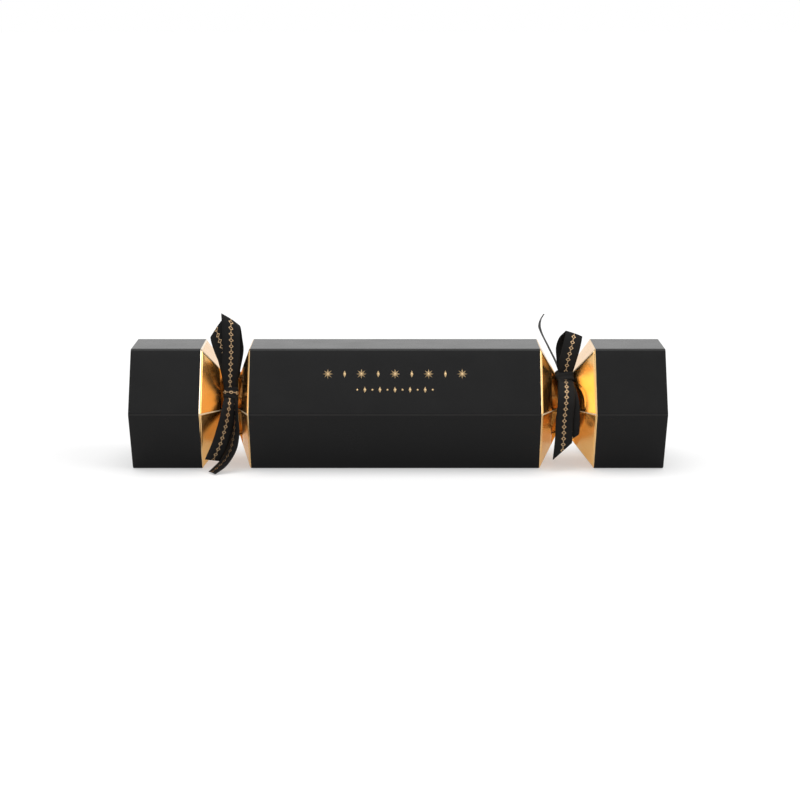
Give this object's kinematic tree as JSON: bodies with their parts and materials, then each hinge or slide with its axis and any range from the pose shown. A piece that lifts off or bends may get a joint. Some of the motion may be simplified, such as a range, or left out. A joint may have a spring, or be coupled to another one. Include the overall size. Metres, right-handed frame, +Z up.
{
  "type": "christmas cracker",
  "caption": "Hexagonal black card cracker with pleated gold necks tied in black ribbon. The ends pull off, with a snap strip, and let out jar candles, a paper crown and a motto.",
  "frame": {"origin": "Middle of the barrel's bottom panel, on its outer face, which the cracker lies on.", "axes": "X along the cracker from its left end to its right end, Y from the front to the back, Z up."},
  "size_m": [0.3071, 0.0808, 0.0881],
  "materials": {
    "black_card": "matt black laminated card",
    "gold_foil_card": "mirror gold foil on card",
    "black_ribbon": "fine woven satin ribbon",
    "snap_card": "plain kraft strip",
    "snap_paper": "thin wrapped paper",
    "jar_glass": "clear pressed glass",
    "candle_wax": "poured ivory wax",
    "wick_cotton": "braided cotton",
    "sustainer_metal": "thin stamped metal",
    "crown_tissue": "gold tissue, rolled",
    "motto_paper": "plain slip, rolled"
  },
  "bodies": {
    "barrel": {"barrel_wrapper": "black_card"},
    "left_end": {"left_end_wrapper": "black_card", "left_neck_pleats": "gold_foil_card", "left_ribbon_band": "black_ribbon", "left_ribbon_knot": "black_ribbon", "left_ribbon_upright_loop": "black_ribbon", "left_ribbon_side_loop": "black_ribbon", "left_ribbon_front_tail": "black_ribbon", "left_ribbon_long_tail": "black_ribbon", "left_snap_strip": "snap_card", "snap_sleeve": "snap_paper"},
    "right_end": {"right_end_wrapper": "black_card", "right_neck_pleats": "gold_foil_card", "right_ribbon_band": "black_ribbon", "right_ribbon_knot": "black_ribbon", "right_ribbon_upright_loop": "black_ribbon", "right_ribbon_hanging_loop": "black_ribbon", "right_ribbon_front_tail": "black_ribbon", "right_ribbon_upright_tail": "black_ribbon", "right_snap_strip": "snap_card"},
    "paper_crown": {"paper_crown_roll": "crown_tissue"},
    "motto": {"motto_roll": "motto_paper"},
    "candle_1": {"candle_1_glass": "jar_glass", "candle_1_wax": "candle_wax", "candle_1_wick": "wick_cotton", "candle_1_sustainer": "sustainer_metal"},
    "candle_2": {"candle_2_glass": "jar_glass", "candle_2_wax": "candle_wax", "candle_2_wick": "wick_cotton", "candle_2_sustainer": "sustainer_metal"},
    "candle_3": {"candle_3_glass": "jar_glass", "candle_3_wax": "candle_wax", "candle_3_wick": "wick_cotton", "candle_3_sustainer": "sustainer_metal"}
  },
  "joints": [
    {"name": "left_end_pull", "type": "slide", "parent": "barrel", "child": "left_end", "axis": [-1, 0, 0], "range_m": [0, 0.16]},
    {"name": "right_end_pull", "type": "slide", "parent": "barrel", "child": "right_end", "axis": [1, 0, 0], "range_m": [0, 0.24]},
    {"name": "candle_1_out", "type": "slide", "parent": "barrel", "child": "candle_1", "axis": [1, 0, 0], "range_m": [0, 0.217]},
    {"name": "candle_2_out", "type": "slide", "parent": "barrel", "child": "candle_2", "axis": [1, 0, 0], "range_m": [0, 0.145]},
    {"name": "candle_3_out", "type": "slide", "parent": "barrel", "child": "candle_3", "axis": [-1, 0, 0], "range_m": [0, 0.129]},
    {"name": "paper_crown_out", "type": "slide", "parent": "barrel", "child": "paper_crown", "axis": [1, 0, 0], "range_m": [0, 0.181]},
    {"name": "motto_out", "type": "slide", "parent": "barrel", "child": "motto", "axis": [1, 0, 0], "range_m": [0, 0.169]}
  ],
  "couplings": [
    {"joint": "candle_1_out", "follows": "right_end_pull", "ratio": 0.9},
    {"joint": "candle_2_out", "follows": "right_end_pull", "ratio": 0.6},
    {"joint": "candle_3_out", "follows": "left_end_pull", "ratio": 0.8},
    {"joint": "paper_crown_out", "follows": "right_end_pull", "ratio": 0.75},
    {"joint": "motto_out", "follows": "right_end_pull", "ratio": 0.7}
  ]
}
